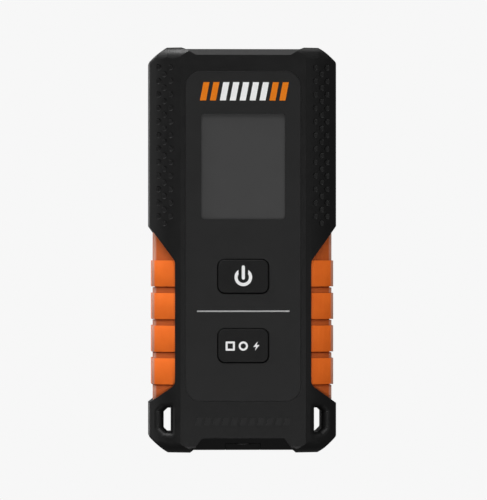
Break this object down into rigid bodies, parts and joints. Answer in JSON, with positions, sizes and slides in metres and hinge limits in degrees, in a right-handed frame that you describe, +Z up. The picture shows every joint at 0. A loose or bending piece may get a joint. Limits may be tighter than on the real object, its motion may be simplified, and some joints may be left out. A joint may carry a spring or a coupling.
{
  "type": "stud finder",
  "caption": "Hand-held electronic stud finder with display window, two push keys, ribbed side grips, lanyard slots and a rear battery door.",
  "frame": {"origin": "middle of the footprint, on the plane that the two bottom bumpers stand on", "axes": "+Z up along the body, -Y out of the front face with the display, +Y out of the rear face that slides on the wall, +X to the right of a viewer facing the display"},
  "size_m": [0.0648, 0.028, 0.14],
  "materials": {
    "case_plastic": "fine spark-eroded texture, black ABS",
    "grip_rubber": "soft-touch orange elastomer",
    "panel_plastic": "smooth satin dark grey",
    "lens_plastic": "smoked clear window, glossy",
    "button_rubber": "satin silicone",
    "white_print": "white ink",
    "orange_print": "orange ink",
    "grey_print": "light grey ink",
    "foam": "closed-cell foam",
    "felt": "dense wool felt",
    "lcd_glass": "polished, with polariser",
    "light_guide": "clear acrylic with white film",
    "tin_plate": "tinned steel sheet",
    "ribbon": "polyimide film",
    "board_green": "green solder mask",
    "chip_black": "moulded epoxy",
    "can_metal": "drawn can",
    "copper": "bare copper",
    "nylon_white": "natural nylon",
    "screw_steel": "zinc plated",
    "spring_steel": "nickel plated",
    "cell_sleeve": "printed sleeve, blank",
    "label_film": "blank silver film"
  },
  "bodies": {
    "casing": {"front_housing": "case_plastic", "rear_housing": "case_plastic", "left_side_grip": "grip_rubber", "right_side_grip": "grip_rubber", "face_panel": "panel_plastic", "display_lens": "lens_plastic", "badge_bars_white": "white_print", "badge_bars_orange": "orange_print", "divider_line": "grey_print", "window_gasket": "foam", "lcd_glass": "lcd_glass", "lcd_backlight": "light_guide", "lcd_frame": "tin_plate", "lcd_ribbon": "ribbon", "main_board": "board_green", "board_screws": "screw_steel", "microcontroller": "chip_black", "board_chips": "chip_black", "board_capacitors": "can_metal", "buzzer": "chip_black", "board_link_header": "chip_black", "power_switch_body": "tin_plate", "mode_switch_body": "tin_plate", "sensor_spacers": "nylon_white", "sensor_board": "board_green", "sensor_electrodes": "copper", "coil_bobbin": "nylon_white", "detector_coil": "copper", "battery_cell_left": "cell_sleeve", "battery_cell_middle": "cell_sleeve", "battery_cell_right": "cell_sleeve", "battery_springs": "spring_steel", "battery_contacts": "spring_steel", "battery_leads": "tin_plate", "housing_screws": "screw_steel", "glide_pads": "felt", "rating_label": "label_film"},
    "power_key": {"power_button": "button_rubber", "power_symbol": "white_print", "power_switch_plunger": "chip_black"},
    "mode_key": {"mode_button": "button_rubber", "mode_symbols": "white_print", "mode_switch_plunger": "chip_black"},
    "door": {"battery_door": "case_plastic", "door_foam_pad": "foam"},
    "latch": {"door_latch": "case_plastic"}
  },
  "joints": [
    {"name": "power_press", "type": "slide", "parent": "casing", "child": "power_key", "axis": [0, 1, 0], "range_m": [0, 0.0006], "stiffness_N_per_m": 400, "springref_m": -0.002},
    {"name": "mode_press", "type": "slide", "parent": "casing", "child": "mode_key", "axis": [0, 1, 0], "range_m": [0, 0.0006], "stiffness_N_per_m": 400, "springref_m": -0.002},
    {"name": "door_swing", "type": "hinge", "parent": "casing", "child": "door", "pos_m": [0, 0.0132, 0.06635], "axis": [1, 0, 0], "range_deg": [0, 60]},
    {"name": "latch_flex", "type": "hinge", "parent": "door", "child": "latch", "pos_m": [0, 0.0132, 0.004], "axis": [1, 0, 0], "range_deg": [0, 2], "stiffness_Nm_per_rad": 0.05, "springref_deg": -5.73}
  ]
}
